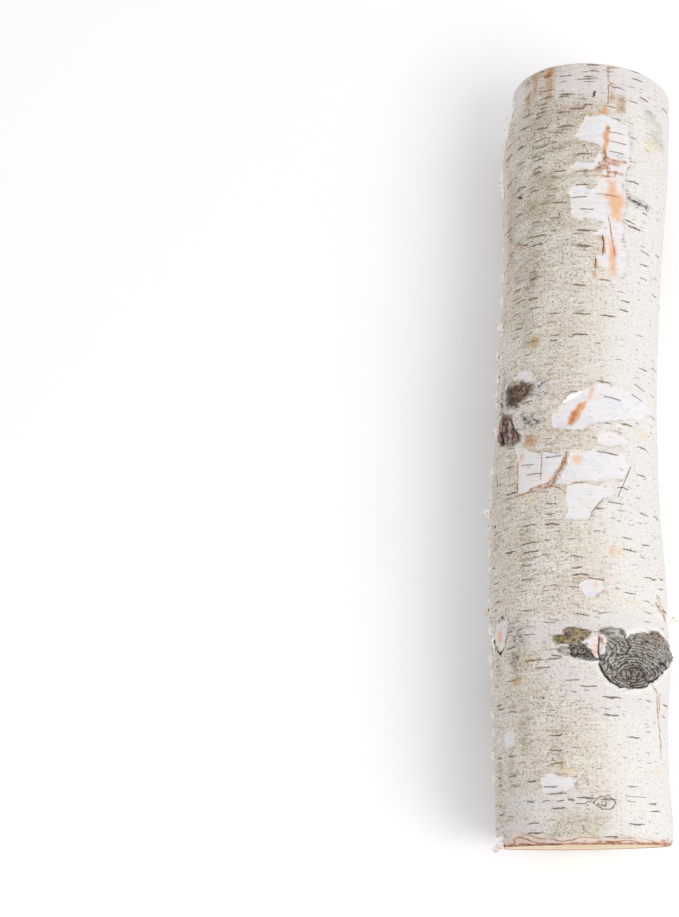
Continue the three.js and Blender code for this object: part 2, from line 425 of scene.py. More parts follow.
def outlineDistance(outline, around, along):
    # distance in mm to a closed outline, below zero inside it
    nearest = np.full(around.shape, 1e6)
    inside = np.zeros(around.shape, bool)
    for (a, s), (a2, s2) in zip(outline, outline[1:] + outline[:1]):
        nearest = np.minimum(nearest, fromPiece(a, s, a2, s2, around, along)[0])
        if s != s2:
            inside ^= ((s > along) != (s2 > along)) & (around < a + (along - s) * (a2 - a) / (s2 - s))
    return np.where(inside, -nearest, nearest)


def lineOffsets(lines, around, along):
    # for the nearest line: its signed offset over its half width, the distance to it, and its depth
    farOff = 9.0
    offset, nearest, depth = (np.full(around.shape, start) for start in (farOff, farOff, 0.0))
    for halfWidth, deep, route in lines:
        for (a, s), (a2, s2) in zip(route, route[1:]):
            away, side = fromPiece(a, s, a2, s2, around, along)
            closer = away < nearest
            offset = np.where(closer, np.clip(side / halfWidth, -farOff, farOff), offset)
            depth = np.where(closer, deep * np.exp(-(away / (halfWidth + form["grooveEdge"])) ** 2), depth)
            nearest = np.minimum(nearest, away)
    return offset, nearest, depth


def ripple(points, size, seed):
    # smooth noise from -1 to 1 at each point; size is the width of its bumps in mm, for X, Y and Z
    shift = (seed * 17.3, seed * 5.1, seed * 9.7)
    scaled = (points / np.array(size) + shift).tolist()
    return np.array([noise.noise(p) for p in scaled])


def ramp(low, high, values):
    share = np.clip((values - low) / (high - low), 0, 1)
    return share * share * (3 - 2 * share)


def setOnFloor():
    # how far the plain stem moves, in mm, to lie in the CAD part's box
    half = stem["lengthMm"] / 2
    angle, along = np.meshgrid(np.radians(np.arange(0, 360, 3)), np.linspace(-half, half, 207))
    plain = stemPoint(along, angle, barkRadius(along, angle)).reshape(-1, 3)
    low, high = (np.array(corner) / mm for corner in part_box("birch_log"))
    move = (low + high) / 2 - (plain.min(0) + plain.max(0)) / 2
    move[2] = low[2] - plain[:, 2].min()
    return move


floorMove = setOnFloor()


print("the bark's shape")
deselectAll()
bpy.ops.mesh.primitive_grid_add(
    x_subdivisions=stem["columns"], y_subdivisions=stem["rows"], size=2, location=(0, 0, 0))
bark = bpy.context.object
bark.name = "birchBark"
grid = np.zeros(len(bark.data.vertices) * 3)
bark.data.vertices.foreach_get("co", grid)
grid = grid.reshape(-1, 3)
angle = np.radians(stopsAt((grid[:, 0] + 1) / 2, stem["columnStops"]))
along = stopsAt((grid[:, 1] + 1) / 2, stem["rowStops"])
around = angle * stem["meanRadiusMm"]

# The UV map is the bark unrolled: one unit is a metre of bark.
corner = np.zeros(len(bark.data.loops), int)
bark.data.loops.foreach_get("vertex_index", corner)
sheet = bark.data.uv_layers[0]
sheet.name = "barkSheet"
sheet.data.foreach_set("uv", (np.stack([around, along], -1)[corner] * mm).ravel())

# The bark's relief, all in mm. A ripple is its rise, the size of its bumps and its seed; a step is the
# distance from an outline where it starts and where it is full.
form = dict(
    # outlines and lines waver by these ripples, the lines by less
    wander=[(0.8, 6, 0), (0.5, 2.4, 2)], lineSway=0.35, grooveEdge=0.25,
    # long swells and the fine wrinkles that run round the stem
    swells=[
        (0.55, (34, 60, 34), 5), (0.22, (11, 16, 11), 6), (0.14, (16, 2.6, 16), 7), (0.06, (4, 1.4, 4), 8)],
    # the ragged side, with more loose bark: where round the stem it starts and ends
    raggedFrom=(-45, -62), raggedTo=(-80, -100), ragged=[(0.5, (5, 7, 5), 9), (0.3, (2.5, 3, 2.5), 10)],
    # the sheets end in a crisp torn step, but run out level where the bark is worn clean
    cleanFrom=(14, 34), cleanTo=(50, 70), cleanLevel=0.85,
    peelDrop=0.5, peelStep=(0.5, -0.5), rustDrop=0.2, roseDrop=0.1, rustStep=(0.4, -0.6),
    tornDrop=0.6, tornStep=(0.4, -0.4), tornSway=0.5,
    lipRise=0.45, lipEven=0.7, lipUneven=[(1.1, 9, 11)], lipLimit=1.4, lipWidth=0.8, peelLip=1.0,
    tornLip=0.9, tornLipShare=0.5,
    # the crust of the branch scars, and the rings round them
    crustRise=0.8, crustStep=(0.8, -1.4), crust=[(1.3, 5, 13), (1.2, 2, 14)],
    ringPitch=1.7, ringBend=[(5, 5, 12), (2, 2, 20)], ringRise=0.3, ringedBark=0.16, ringedReach=(24, 8),
    ringedGap=(0, 1), ringsTo=40,
    scarRise=0.2, scarStep=(2, -3), scar=[(1.6, 5, 18), (0.6, 2.2, 19)],
    roughRise=0.3, roughStep=(0.8, -1), grimeGap=0.5, rough=[(1.3, (2.6, 5, 2.6), 15), (0.9, 1.7, 16)],
    flapRise=0.9, flapReach=(3.5, 0), flapStep=(0.6, -0.8),
    mossRise=0.55, mossStep=(0.6, -1.2), moss=[(0.8, 1.8, 17)],
    seamMm=0.02,  # the grid's two long edges meet under the stem and are merged
    # where the loosened bark stands away: along, degrees from the top, rise, reach along, reach around
    lifted=[
        (105, -85, -2.6, 46, 28), (196, -78, -2.4, 16, 24), (138, -84, -1.9, 26, 26),
        (35, -85, -1.2, 46, 26), (-40, -85, -1.3, 60, 26), (-130, -85, -1.2, 50, 26),
        (-198, -85, -1.3, 24, 24), (-198, 85, 1.6, 16, 24), (-60, 85, 0.4, 90, 20),
        (180, 82, 0.8, 40, 20), (-118, 82, 0.8, 13, 12), (64, -70, 1.0, 4, 6), (48, -86, 1.2, 6, 6),
        (-38, -88, 1.3, 4, 6), (-92, 64, 0.9, 3, 7), (-104, -66, 0.9, 6, 5), (4, -64, 1.0, 8, 8)],
)


def keepValues(piece, name, values):
    layer = piece.data.attributes.new(name, "FLOAT", "POINT")
    layer.data.foreach_set("value", values.astype(np.float32))


stemRadius = barkRadius(along, angle)
plain = stemPoint(along, angle, stemRadius)


def rippled(name, seedMore=0):
    return sum(rise * ripple(plain, size, seed + seedMore) for rise, size, seed in form[name])


wander = [rippled("wander", k) for k in (1, 2)]
bentAround, bentAlong = around + wander[0], along + wander[1]
fields = {}
farMm = 6.0  # distances to outlines and lines are kept up to here
for kind, outlines in patches.items():
    nearest = np.full(around.shape, farMm)
    for outline in outlines:
        nearest = np.minimum(nearest, outlineDistance(outline, bentAround, bentAlong))
    fields[kind] = np.maximum(nearest, -farMm)
for kind, lines in (("rustLine", rustLines), ("darkLine", darkLines), ("dashLine", dashLines),
                    ("slateLine", slateLines)):
    offset, nearest, depth = lineOffsets(
        lines, around + form["lineSway"] * wander[0], along + form["lineSway"] * wander[1])
    fields[kind], fields[kind + "Near"], fields[kind + "Depth"] = offset, np.minimum(nearest, farMm), depth
ringAway = np.full(around.shape, 1e3)
for placeAround, placeAlong, wide in ringCentres:
    ringAway = np.minimum(ringAway, np.hypot((around - placeAround) / wide, along - placeAlong))
fields["ringAway"] = np.minimum(ringAway, form["ringsTo"])

# The bark's torn edge at the near cut, (around, along); beyond it the inner bark shows.
tornEdge = [
    (-140, -205), (-90, -204), (-64, -203.5), (-52, -204), (-45, -202), (-38, -199.8), (-30, -200.6),
    (-22, -203), (-12, -203.8), (-4, -202.4), (2, -202.2), (8, -204.4), (14, -203.2), (20, -202.6),
    (30, -204.2), (44, -203.6), (63, -204.6), (90, -203.4), (110, -205), (140, -205)]
fields["torn"] = np.clip(
    along - stopsAt(around, tornEdge) + form["tornSway"] * wander[1], -farMm, farMm)

relief = rippled("swells")


def liftedBy(alongMm, angle):
    lift = np.zeros(angle.shape)
    for place, turn, rise, reachAlong, reachAround in form["lifted"]:
        apart = (angle - math.radians(turn)) * stem["meanRadiusMm"]
        lift += rise * np.exp(-((alongMm - place) / reachAlong) ** 2 - (apart / reachAround) ** 2)
    return lift


relief += liftedBy(along, angle)
relief += ramp(*form["raggedFrom"], around) * (1 - ramp(*form["raggedTo"], around)) * rippled("ragged")
lip = form["lipRise"] * np.clip(form["lipEven"] + rippled("lipUneven"), 0, form["lipLimit"])
level = 1 - form["cleanLevel"] * ramp(*form["cleanFrom"], around) * (1 - ramp(*form["cleanTo"], around))
relief -= form["peelDrop"] * level * ramp(*form["peelStep"], fields["peel"])
relief += lip * level * np.exp(-((fields["peel"] - form["peelLip"]) / form["lipWidth"]) ** 2)
relief -= form["rustDrop"] * ramp(*form["rustStep"], fields["rust"])
relief -= form["roseDrop"] * ramp(*form["rustStep"], fields["rose"])
relief -= form["tornDrop"] * ramp(*form["tornStep"], fields["torn"])
relief += form["tornLipShare"] * lip * np.exp(-((fields["torn"] - form["tornLip"]) / form["lipWidth"]) ** 2)
relief -= sum(fields.pop(name + "Depth") for name in ("rustLine", "darkLine", "dashLine", "slateLine"))
rings = np.sin(ringAway * 2 * math.pi / form["ringPitch"] + rippled("ringBend"))
relief += ramp(*form["crustStep"], fields["knot"]) * (
    form["crustRise"] + form["ringRise"] * rings + rippled("crust"))
relief += form["ringedBark"] * rings * ramp(*form["ringedReach"], ringAway) * ramp(
    *form["ringedGap"], fields["knot"])  # bark wrinkled round the scar
relief += ramp(*form["scarStep"], fields["scar"]) * (form["scarRise"] + rippled("scar"))
relief += ramp(*form["roughStep"], np.minimum(fields["redBark"], fields["grime"] + form["grimeGap"])) * (
    form["roughRise"] + rippled("rough"))
splitAway = outlineDistance(splitFlap, bentAround, bentAlong)
relief += form["flapRise"] * (ramp(*form["flapReach"], splitAway) - ramp(*form["flapStep"], splitAway))
relief += ramp(*form["mossStep"], np.minimum(fields["moss"], fields["lichen"])) * (
    form["mossRise"] + rippled("moss"))

points = stemPoint(along, angle, stemRadius + relief) + floorMove
bark.data.vertices.foreach_set("co", (points * mm).ravel())
fields["stemPlace"] = along
for name, values in fields.items():
    keepValues(bark, name, values)
bark.data.update()
bpy.ops.object.mode_set(mode="EDIT")
bpy.ops.mesh.select_all(action="SELECT")
bpy.ops.mesh.remove_doubles(threshold=form["seamMm"] * mm)
bpy.ops.mesh.normals_make_consistent(inside=False)
bpy.ops.object.mode_set(mode="OBJECT")
bpy.ops.object.shade_smooth()
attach(bark, "root")
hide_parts("birch_log")


print("the sawn ends")
sawn = dict(
    # each ring of faces as a share of the cut's radius, from the bark in
    rings=[0.99, 0.975, 0.955, 0.935, 0.91, 0.87, 0.83, 0.79, 0.74, 0.69, 0.64, 0.58, 0.52, 0.46, 0.4, 0.34,
           0.28, 0.22, 0.16, 0.1, 0.05],
    pith=(-3, 2), rimMatchMm=0.01,
    # shallow waves from the saw, and the wood shrunk a little below the bark's edge
    kerfMm=0.12, waveMm=(2.2, 40, 26), shrinkMm=0.3, innerBarkMm=(2.2, 3.2), evenRimMm=(0, 2.5),
)


def vertexPlaces(piece):
    places = np.zeros(len(piece.data.vertices) * 3)
    piece.data.vertices.foreach_get("co", places)
    return places.reshape(-1, 3)


def sawnEnd(name, farther, seed):
    # a copy of the bark's rim, extruded ring by ring to the pith
    deselectAll()
    bark.select_set(True)
    bpy.context.view_layer.objects.active = bark
    bpy.ops.object.mode_set(mode="EDIT")
    bpy.ops.mesh.select_mode(type="VERT")
    bpy.ops.mesh.select_all(action="DESELECT")
    bpy.ops.object.mode_set(mode="OBJECT")
    place = np.zeros(len(bark.data.vertices), np.float32)
    bark.data.attributes["stemPlace"].data.foreach_get("value", place)
    atRim = np.abs(place - farther * stem["lengthMm"] / 2) < sawn["rimMatchMm"]
    bark.data.vertices.foreach_set("select", atRim)
    ends = np.zeros(len(bark.data.edges) * 2, int)
    bark.data.edges.foreach_get("vertices", ends)
    bark.data.edges.foreach_set("select", atRim[ends.reshape(-1, 2)].all(1))
    bpy.ops.object.mode_set(mode="EDIT")
    bpy.ops.mesh.duplicate()
    bpy.ops.mesh.separate(type="SELECTED")
    bpy.ops.object.mode_set(mode="OBJECT")
    bark.select_set(False)
    end = bpy.context.selected_objects[0]
    end.name = name
    bpy.context.view_layer.objects.active = end
    rim = vertexPlaces(end)
    pith = rim.mean(0) + np.array([sawn["pith"][0], 0, sawn["pith"][1]]) * mm
    slope = stem["farCut"] if farther > 0 else stem["nearCut"]
    pith[1] += (slope[0] * sawn["pith"][0] + slope[1] * sawn["pith"][1]) * mm
    bpy.ops.object.mode_set(mode="EDIT")
    bpy.ops.mesh.select_all(action="SELECT")
    share = 1
    for ring in sawn["rings"]:
        bpy.ops.mesh.extrude_edges_move(TRANSFORM_OT_translate={"value": (0, 0, 0)})
        bpy.ops.transform.resize(value=[ring / share] * 3, center_override=pith.tolist())
        share = ring
    bpy.ops.mesh.merge(type="CENTER")
    bpy.ops.mesh.select_all(action="SELECT")
    bpy.ops.mesh.normals_make_consistent(inside=False)
    bpy.ops.object.mode_set(mode="OBJECT")
    places = vertexPlaces(end)
    spread = places - pith
    turn = np.arctan2(spread[:, 0], spread[:, 2])
    radius = np.hypot(spread[:, 0], spread[:, 2]) / mm
    rimSpread = rim - pith
    rimTurn = np.arctan2(rimSpread[:, 0], rimSpread[:, 2])
    order = np.argsort(rimTurn)
    rimRadius = np.hypot(rimSpread[:, 0], rimSpread[:, 2])[order] / mm
    edge = np.interp(turn, rimTurn[order], rimRadius, period=2 * math.pi)
    keepValues(end, "depth", edge - radius)
    keepValues(end, "share", radius / edge)
    waves = sawn["kerfMm"] * ripple(places / mm, sawn["waveMm"], seed)
    waves -= sawn["shrinkMm"] * ramp(*sawn["innerBarkMm"], edge - radius)
    places[:, 1] += farther * waves * ramp(*sawn["evenRimMm"], edge - radius) * mm
    end.data.vertices.foreach_set("co", places.ravel())
    end.data.update()
    bpy.ops.object.shade_smooth()
    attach(end, "root")
    return end


nearEnd = sawnEnd("nearSawnEnd", -1, 21)
farEnd = sawnEnd("farSawnEnd", 1, 22)


print("loose curls of bark")
# Each strip: name, along, degrees from the top, length and width in mm, its turn from the stem's
# line, how far it curls, the seed of its ragged edge.
curls = dict(
    paperMm=0.3, faces=(14, 8), sinkMm=0.25, aboveFloorMm=0.3, waveMm=0.35, smoothDegrees=50,
    # how much the free edge varies, how often along the strip, and how it narrows to both tips
    ragged=0.5, raggedTimes=2.5, taper=(1.05, 0.03),
    strips=[
        ("edgeCurlFar", 176, -81, 34, 3.8, 3, 62, 31),
        ("edgeCurlFarLow", 152, -85, 22, 3.4, -4, 70, 32),
        ("edgeCurlTop", 196, -80, 10, 2.4, 8, 60, 33), ("knobCurl", 64, -74, 5, 5.0, -20, 150, 34),
        ("knobCurlBelow", 60, -78, 4, 3.2, 30, 120, 35), ("sideCurlA", 49, -88, 9, 2.2, 3, 85, 36),
        ("sideCurlB", 39, -88, 10, 2.4, -4, 80, 37), ("sideCurlC", 22, -86, 3, 3.4, 20, 110, 38),
        ("splinterCurl", -37.5, -87, 5, 6.5, 35, 130, 39),
        ("splinterCurlLow", -43.5, -88, 5, 3.6, -30, 120, 40),
        ("sideCurlD", -51, -88, 3, 3, 15, 110, 41), ("sideCurlE", -67, -84, 3.4, 3.2, -15, 110, 42),
        ("sideCurlF", -89, -88, 4.5, 4.8, 20, 130, 43), ("sideCurlG", -128, -85, 6, 2.2, 10, 90, 44),
        ("sideCurlH", -150, -84, 4, 2.4, -10, 90, 45), ("flapCurl", -104, -73, 12, 3.4, 12, 60, 46),
        ("rightFlake", -91.5, 75, 6, 6.5, 196, 95, 47), ("rightSplinter", 66, 82, 3, 2.2, 190, 120, 48),
        ("cornerFlake", -204, -68, 6, 6.5, 14, 70, 49),
        ("cornerFlakeLow", -206, -80, 4, 4.5, -20, 80, 50), ("sailLip", 14, -6, 12, 2.2, 58, 55, 51),
        ("backCurlA", 112, -118, 14, 6, 5, 170, 52), ("backCurlB", 66, 126, 12, 5, 184, 160, 53),
        ("backCurlC", -70, 122, 10, 4, 176, 140, 54),
    ],
    # small frayed bits all along the ragged side: their places along
    frayed=[112, 96, 82, 30, 8, -14, -28, -57, -74, -82, -98, -112, -120, -140, -160, -172],
)
curls["strips"] += [
    (f"edgeFray{n}", along, -88, 4 + 1.5 * (n % 3), 2.5 + 0.4 * (n % 4), 7 * (-1) ** n,
     85 + 8 * (n % 4), 61 + n)
    for n, along in enumerate(curls["frayed"])]


def barkCurl(name, place, degrees, length, width, turn, bend, seed):
    # a strip of paper bark that leaves the stem level and rolls outwards
    deselectAll()
    bpy.ops.mesh.primitive_grid_add(
        x_subdivisions=curls["faces"][0], y_subdivisions=curls["faces"][1], size=2, location=(0, 0, 0))
    strip = bpy.context.object
    strip.name = name
    spots = vertexPlaces(strip)
    a = math.radians(degrees)
    at = np.array([float(place)]), np.array([a])
    root = stemPoint(*at, barkRadius(*at) + liftedBy(*at))[0] + floorMove
    outward, roundWay, stemWay = (np.array(v) for v in (
        (math.sin(a), 0, math.cos(a)), (math.cos(a), 0, -math.sin(a)), (0, 1, 0)))
    t = math.radians(turn)
    side = 1 if degrees < 0 else -1
    line = math.cos(t) * stemWay + math.sin(t) * roundWay
    leave = -side * (math.cos(t) * roundWay - math.sin(t) * stemWay) * (1 if abs(turn) < 90 else -1)
    out = (spots[:, 1] + 1) / 2
    full, tip = curls["taper"]
    ragged = 1 + curls["ragged"] * ripple(spots * (curls["raggedTimes"], 0, 0), 1, seed)
    reach = out * width * ragged * np.sqrt(np.clip(full - spots[:, 0] ** 2, tip, 1))
    curve = width / math.radians(bend)
    phi = reach / curve
    wave = curls["waveMm"] * ripple(spots * (2, 1, 1), 1, seed + 1) * out
    shape = (
        root + spots[:, :1] * length / 2 * line + (curve * np.sin(phi))[:, None] * leave
        + (curve * (1 - np.cos(phi)) + wave - curls["sinkMm"])[:, None] * outward)
    shape[:, 2] = np.maximum(shape[:, 2], curls["aboveFloorMm"])
    strip.data.vertices.foreach_set("co", (shape * mm).ravel())
    strip.data.update()
    thick = strip.modifiers.new("paper", "SOLIDIFY")
    thick.thickness = curls["paperMm"] * mm
    thick.offset = 0
    bpy.ops.object.modifier_apply(modifier="paper")
    bpy.ops.object.mode_set(mode="EDIT")
    bpy.ops.mesh.select_all(action="SELECT")
    bpy.ops.mesh.normals_make_consistent(inside=False)
    bpy.ops.object.mode_set(mode="OBJECT")
    bpy.ops.object.shade_smooth_by_angle(angle=math.radians(curls["smoothDegrees"]))
    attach(strip, "root")
    return strip


strips = [barkCurl(*strip) for strip in curls["strips"]]


print("materials")


# Birch bark as it grew: dusty grey-white cork paper, dull all over, peppered grey and brown, with
# brown lenticels, satin white sheets where the outer paper has come off, orange to pink in the tears.
# Along the peels' edges the colour also holds painted shadow and a painted highlight, and on the knot crust
# painted highlight and shade.
grown = dict(
    creamGrey="F0E8DC", cleanWhite="E6E5E0", warmGrey="D2C3AE", pinkGrey="E4D5CB", greenGrey="DFDACC",
    lightBand="EDE9E1", whiteFleck="F6F3ED", pepper="85765F", dotBrown="75634D", olive="857859",
    khaki="B4A587", lenticel="6B5841", palePaper="E3DDDA", freshPaper="E3E2E3", coolPaper="D6D8DD",
    warmPaper="E6DDD6", rimCream="EBE0C8", ochre="C99B56", rose="DFB7A0", peach="E2B48D",
    rosePale="E6D2C6", rustCore="B36B38", rustEdge="D99C6C", rustDark="874B30", streakBrown="8E6A44",
    crustDark="4A413A", crustGrey="C1BBB2", crustLight="E6E2DA", buff="E6D3AC", crustBrown="7B573C",
    redBrown="7A4634", redPale="C8ACA0", grimeBlack="37322D", moss="6E6136", mossLight="BBA664",
    lichen="87928A", crack="33271F", dashBrown="7A5D4E", foldRust="BC875F", scarTanAndPaintedShadow="C2AC8B",
    slate="59605F",
)
paint = {name: colourOf(code) for name, code in grown.items()}
barkMaterial, tree = newMaterial("weathered birch bark, as grown")
unrolled = addNode(tree, "VectorMath", {
    0: addNode(tree, "UVMap", uv_map="barkSheet"), 1: [1 / mm] * 3}, operation="MULTIPLY")
place = addNode(tree, "SeparateXYZ", {0: unrolled})

grainOf = grainPatterns(tree, dict(
    cloud=((26, 40, 26), 4, 0.55), hue=((38, 24, 38), 3, 0.5), mottle=((9, 4.5, 9), 5, 0.65),
    band=((24, 1.7, 24), 5, 0.65), hair=((7, 0.5, 7), 4, 0.65), ragged=((2.6, 1.6, 2.6), 5, 0.7),
    dots=((1.2, 1.0, 1.2), 5, 0.8), grain=((0.55, 0.5, 0.55), 3, 0.6), crumb=((2.4, 1.9, 2.4), 7, 0.75),
    patchy=((12, 9, 12), 5, 0.65), folds=((10, 3.2, 10), 3, 0.5), waves=((16, 4.5, 16), 1, 0.4),
    smear=((3.2, 9, 3.2), 5, 0.65),
))

# Edge of each patch: where the mask starts and is full, in mm from the outline, and how ragged it is.
edgeSteps = dict(
    peel=(0.22, -0.22, 3.2), rust=(1.3, -1.2, 4.0), rose=(1.5, -1.5, 4.5), ochre=(2.6, -1.8, 6.0),
    buff=(0.8, -0.8, 6.0), khaki=(4.0, -3.0, 8.0), moss=(0.8, -0.8, 4.5), lichen=(0.9, -0.8, 4.5),
    knot=(0.5, -0.5, 5.5), redBark=(1.4, -1.0, 7.0), scar=(2.2, -1.6, 7.0), grime=(2.2, -1.2, 5.0),
    pale=(6.0, -6.0, 14.0), torn=(1.4, -0.8, 3.0),
)
fieldOf, maskOf = {}, {}
# How far noise shakes each edge, and the pitch of the rings and folds, in mm where they are lengths.
fine = dict(
    lineFray=2.6, lineReach=(1.5, 0.9), sway=4.0, swayFray=0.9, dashFray=1.3, dashGrow=1.35,
    dashEdge=(-0.2, 0.3), sideSway=30.0, farFrom=50.0, farFull=140.0, ringPitch=1.35, ringBend=24.0,
    ringFray=9.0, edgeLineGap=0.35, foldBend=30.0, foldsPerMm=2.7,
)
centred = addNode(tree, "Math", {0: grainOf["ragged"], 1: 0.5}, operation="SUBTRACT")
for kind, (start, full, ragged) in edgeSteps.items():
    outline = addNode(tree, "Attribute", attribute_name=kind).outputs["Fac"]
    fieldOf[kind] = addNode(tree, "Math", {0: centred, 1: ragged, 2: outline}, operation="MULTIPLY_ADD")
    maskOf[kind] = addNode(tree, "MapRange", {
        "Value": fieldOf[kind], "From Min": start, "From Max": full}, interpolation_type="SMOOTHSTEP")

# Thin lines: their offset over the half width runs from -1 to 1. Each kind has its own softness.
for kind, soft in (("rustLine", 1.0), ("darkLine", 0.4), ("dashLine", 0.5), ("slateLine", 0.8)):
    offset = addNode(tree, "Attribute", attribute_name=kind).outputs["Fac"]
    shaken = addNode(tree, "Math", {0: centred, 1: fine["lineFray"], 2: offset}, operation="MULTIPLY_ADD")
    size = addNode(tree, "Math", {0: shaken}, operation="ABSOLUTE")
    away = addNode(tree, "Attribute", attribute_name=kind + "Near").outputs["Fac"]
    across = addNode(tree, "MapRange", {"Value": size, "From Min": 1 + soft, "From Max": 1 - soft})
    beside = addNode(tree, "MapRange", {
        "Value": away, "From Min": fine["lineReach"][0], "From Max": fine["lineReach"][1]})
    maskOf[kind] = addNode(tree, "Math", {0: across, 1: beside}, operation="MULTIPLY")

# Lenticels: one dash in each cell of the unrolled bark. Cell size, dash half length and half
# thickness in mm, the share of cells left empty, and the seed.
dashKinds = dict(
    long=((13, 6.2), (3.9, 0.34), 0.3, 0), short=((5.6, 3.1), (1.3, 0.2), 0.5, 7),
    blotch=((13, 5.4), (3.6, 0.6), 0.2, 13), speck=((2.4, 2.0), (0.46, 0.34), 0.25, 3),
    mote=((1.3, 1.1), (0.34, 0.26), 0.3, 5),
)
swayed = addNode(tree, "Math", {0: grainOf["patchy"], 1: fine["sway"]}, operation="MULTIPLY")
swayedMore = addNode(tree, "Math", {0: centred, 1: fine["swayFray"], 2: swayed}, operation="MULTIPLY_ADD")
swayVector = addNode(tree, "CombineXYZ", {"Y": swayedMore})
swayedSheet = addNode(tree, "VectorMath", {0: unrolled, 1: swayVector}, operation="ADD")
for name, (cell, half, empty, seed) in dashKinds.items():
    cells = addNode(tree, "VectorMath", {
        0: swayedSheet, 1: (1 / cell[0], 1 / cell[1], 0), 2: (seed, seed, 0)}, operation="MULTIPLY_ADD")
    dash = addNode(tree, "TexVoronoi", {"Vector": cells, "Scale": 1.0}, voronoi_dimensions="2D")
    fromMiddle = addNode(tree, "VectorMath", {
        0: cells, 1: dash.outputs["Position"]}, operation="SUBTRACT")
    inHalves = addNode(tree, "VectorMath", {
        0: fromMiddle, 1: (cell[0] / half[0], cell[1] / half[1], 0)}, operation="MULTIPLY")
    reach = addNode(tree, "VectorMath", {0: inHalves}, operation="LENGTH").outputs["Value"]
    chance = addNode(tree, "SeparateColor", {0: dash.outputs["Color"]})
    grow = addNode(tree, "MapRange", {
        "Value": chance.outputs["Red"], "From Min": empty, "To Max": fine["dashGrow"]})
    within = addNode(tree, "Math", {0: grow, 1: reach}, operation="SUBTRACT")
    worn = addNode(tree, "Math", {0: centred, 1: fine["dashFray"], 2: within}, operation="MULTIPLY_ADD")
    maskOf[name] = addNode(tree, "MapRange", {
        "Value": worn, "From Min": fine["dashEdge"][0], "From Max": fine["dashEdge"][1]},
        interpolation_type="SMOOTHSTEP")

# Where the patterns are strong: grime and dots on one side, fading over the top to clean bark.
swayAcross = addNode(tree, "Math", {
    0: grainOf["cloud"], 1: fine["sideSway"], 2: place.outputs["X"]}, operation="MULTIPLY_ADD")
acrossRanges = dict(
    leftSide=(42.0, 0.0), middle=(56.0, 32.0), rightSide=(14.0, 44.0), farSide=(70.0, 120.0),
    flank=(-22.0, -50.0))
for name, (start, full) in acrossRanges.items():
    maskOf[name] = addNode(tree, "MapRange", {
        "Value": swayAcross, "From Min": start, "From Max": full}, interpolation_type="SMOOTHSTEP")
farPart = addNode(tree, "MapRange", {
    "Value": place.outputs["Y"], "From Min": fine["farFrom"], "From Max": fine["farFull"]},
    interpolation_type="SMOOTHSTEP")
maskOf["farFlank"] = addNode(tree, "Math", {0: maskOf["flank"], 1: farPart}, operation="MULTIPLY")
farLeftSide = addNode(tree, "Math", {0: maskOf["leftSide"], 1: maskOf["flank"]}, operation="SUBTRACT")
maskOf["farLeft"] = addNode(tree, "Math", {
    0: farLeftSide, 1: farPart}, operation="MULTIPLY", use_clamp=True)

# Masks read from the noises: which one, and where the mask starts and is full.
thresholds = dict(
    dotMask=("dots", 0.52, 0.64), grainMask=("grain", 0.52, 0.68), bandMask=("band", 0.46, 0.66),
    bandDark=("band", 0.52, 0.36), hairMask=("hair", 0.52, 0.7), hairDark=("hair", 0.46, 0.3),
    cloudMask=("cloud", 0.4, 0.6), hueMask=("hue", 0.42, 0.6), hueOther=("hue", 0.52, 0.36),
    mottleMask=("mottle", 0.52, 0.68), crumbMask=("crumb", 0.44, 0.58), crumbDeep=("crumb", 0.5, 0.4),
    crumbHigh=("crumb", 0.54, 0.66), patchMask=("patchy", 0.48, 0.6), patchOther=("patchy", 0.5, 0.38),
    smearMask=("smear", 0.42, 0.62), smearDeep=("smear", 0.54, 0.7), foldMask=("folds", 0.48, 0.62),
    foldOther=("folds", 0.5, 0.36), dotDark=("dots", 0.46, 0.36), dotHigh=("dots", 0.6, 0.68),
    grainLight=("grain", 0.45, 0.33), crumbWide=("crumb", 0.58, 0.42),
)
for name, (source, low, high) in thresholds.items():
    maskOf[name] = addNode(tree, "MapRange", {
        "Value": grainOf[source], "From Min": low, "From Max": high}, interpolation_type="SMOOTHSTEP")
ringAt = addNode(tree, "Attribute", attribute_name="ringAway").outputs["Fac"]
ringPhase = addNode(tree, "Math", {0: ringAt, 1: 2 * math.pi / fine["ringPitch"]}, operation="MULTIPLY")
ringBent = addNode(tree, "Math", {
    0: grainOf["crumb"], 1: fine["ringBend"], 2: ringPhase}, operation="MULTIPLY_ADD")
ringSway = addNode(tree, "Math", {
    0: grainOf["dots"], 1: fine["ringFray"], 2: ringBent}, operation="MULTIPLY_ADD")
ringSine = addNode(tree, "Math", {0: ringSway}, operation="SINE")
maskOf["notPeel"] = addNode(tree, "Math", {0: 1.0, 1: maskOf["peel"]}, operation="SUBTRACT")

# Bands along the outlines, from the same distances: torn rims, the peels' cream rim partly a painted
# highlight, deep middles, thin stained edges, and a band of painted shadow just outside the peels.
bands = dict(
    peelFrayed=("peel", 2.4, 0.8), peelRim=("peel", 1.0, 0.4), peelInner=("peel", -1.6, -0.3),
    rustDeep=("rust", 0.3, -1.6), scarDeep=("scar", 0.5, -2.2), knotHalo=("knot", 3.4, 1.0),
    tornDeep=("torn", 0.0, -1.6), roseDeep=("rose", 0.0, -3.0), mossEdge=("moss", -1.6, 0.0),
    peelShade=("peel", 3.2, 1.6),
)
for name, (source, low, high) in bands.items():
    maskOf[name] = addNode(tree, "MapRange", {"Value": fieldOf[source], "From Min": low, "From Max": high})
# At each peel's edge a thin dark line: partly brown flecks, partly a painted shadow line under the torn
# step.
edgeLineAway = addNode(tree, "Math", {0: fieldOf["peel"], 1: fine["edgeLineGap"]}, operation="SUBTRACT")
edgeLineSize = addNode(tree, "Math", {0: edgeLineAway}, operation="ABSOLUTE")
foldWave = addNode(tree, "Math", {0: grainOf["waves"], 1: fine["foldBend"]}, operation="MULTIPLY")
tornAt = addNode(tree, "Attribute", attribute_name="torn").outputs["Fac"]
foldPlace = addNode(tree, "Math", {0: tornAt, 1: fine["foldsPerMm"], 2: foldWave}, operation="MULTIPLY_ADD")
foldSine = addNode(tree, "Math", {0: foldPlace}, operation="SINE")
